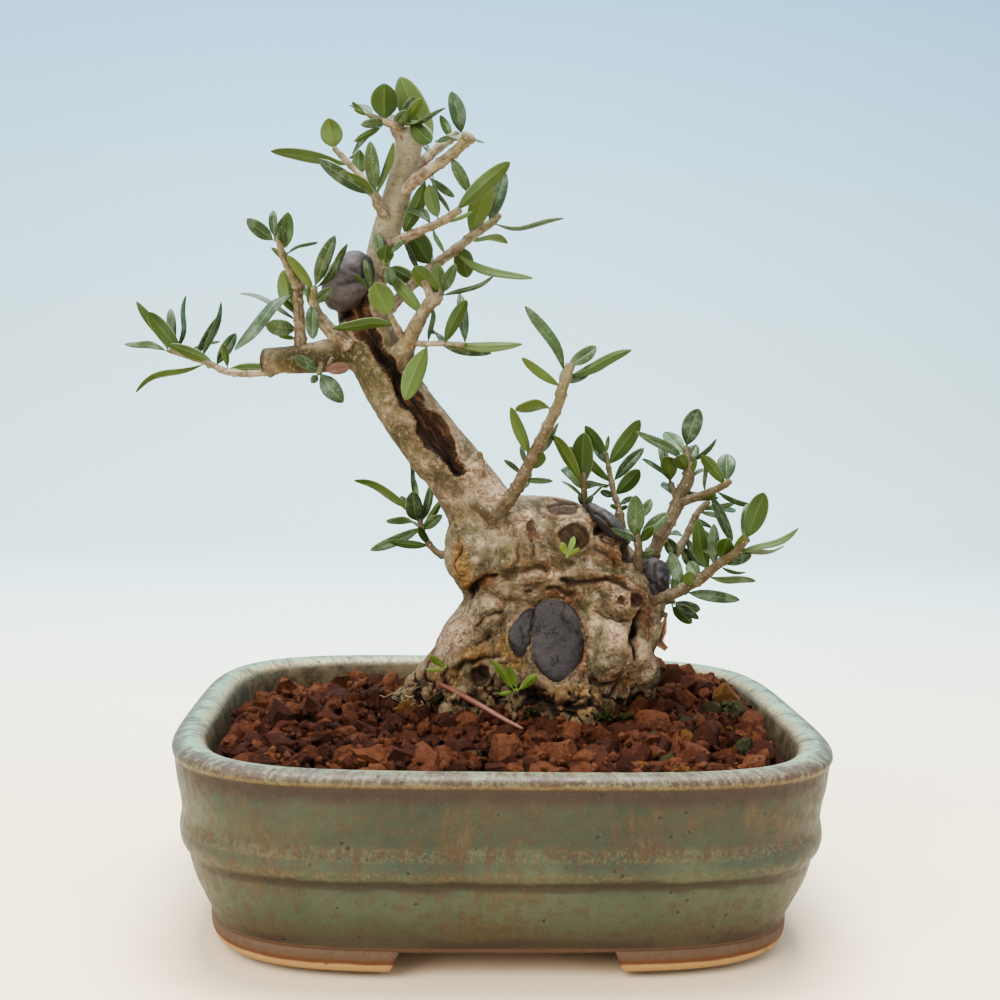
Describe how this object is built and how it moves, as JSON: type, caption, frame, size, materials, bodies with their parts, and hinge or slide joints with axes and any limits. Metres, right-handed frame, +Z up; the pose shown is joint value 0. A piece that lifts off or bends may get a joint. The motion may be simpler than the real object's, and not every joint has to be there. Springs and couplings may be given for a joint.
{
  "type": "wild olive bonsai",
  "caption": "Miniature wild olive tree with a swollen stump, a slanting hollow trunk and small leafy shoots, in a low oval-cornered glazed pot filled with granular soil.",
  "frame": {"origin": "on the ground under the middle of the whole object's box", "axes": "+Z up; +X along the pot's long side, to the right as seen from the front; +Y away from the front"},
  "size_m": [0.1804, 0.134, 0.2078],
  "materials": {
    "glaze": "satin",
    "plastic_mesh": "matte",
    "soil": "matte",
    "bark": "matte",
    "paste": "matte",
    "leaf": "satin",
    "sprout": "satin",
    "dry_leaf": "matte"
  },
  "bodies": {
    "root": {"pot": "glaze", "drain_mesh_left": "plastic_mesh", "drain_mesh_right": "plastic_mesh", "soil": "soil", "trunk": "bark", "paste_wound_large": "paste", "paste_wound_small": "paste", "paste_shoulder": "paste", "paste_knuckle": "paste", "paste_ball": "paste", "shoot_crown": "leaf", "shoot_crown_left": "leaf", "shoot_high_left": "leaf", "twig_crown_front": "leaf", "twig_crown_rear": "leaf", "twig_right_upper": "leaf", "twig_right_middle": "leaf", "shoot_collar": "leaf", "shoot_collar_left": "leaf", "shoot_hollow_front": "leaf", "shoot_fork_right": "leaf", "shoot_fork_top": "leaf", "twig_left_upright": "leaf", "shoot_left_front": "leaf", "shoot_left_long": "leaf", "shoot_under_stub": "leaf", "leaf_faded": "dry_leaf", "twig_middle": "leaf", "shoot_waist_left": "leaf", "shoot_shoulder_left": "leaf", "shoot_shoulder_right": "leaf", "shoot_shoulder_front": "leaf", "branch_right_high": "leaf", "shoot_right_inner": "leaf", "branch_right_low": "leaf", "shoot_right_under": "leaf", "leaf_curled_dry": "dry_leaf", "sprout_eye": "sprout", "sprout_base_front": "sprout", "sprout_base_left": "sprout", "shoot_rear_low": "leaf", "shoot_rear_left": "leaf", "shoot_rear_right": "leaf", "stalk_fallen": "dry_leaf"}
  },
  "joints": []
}
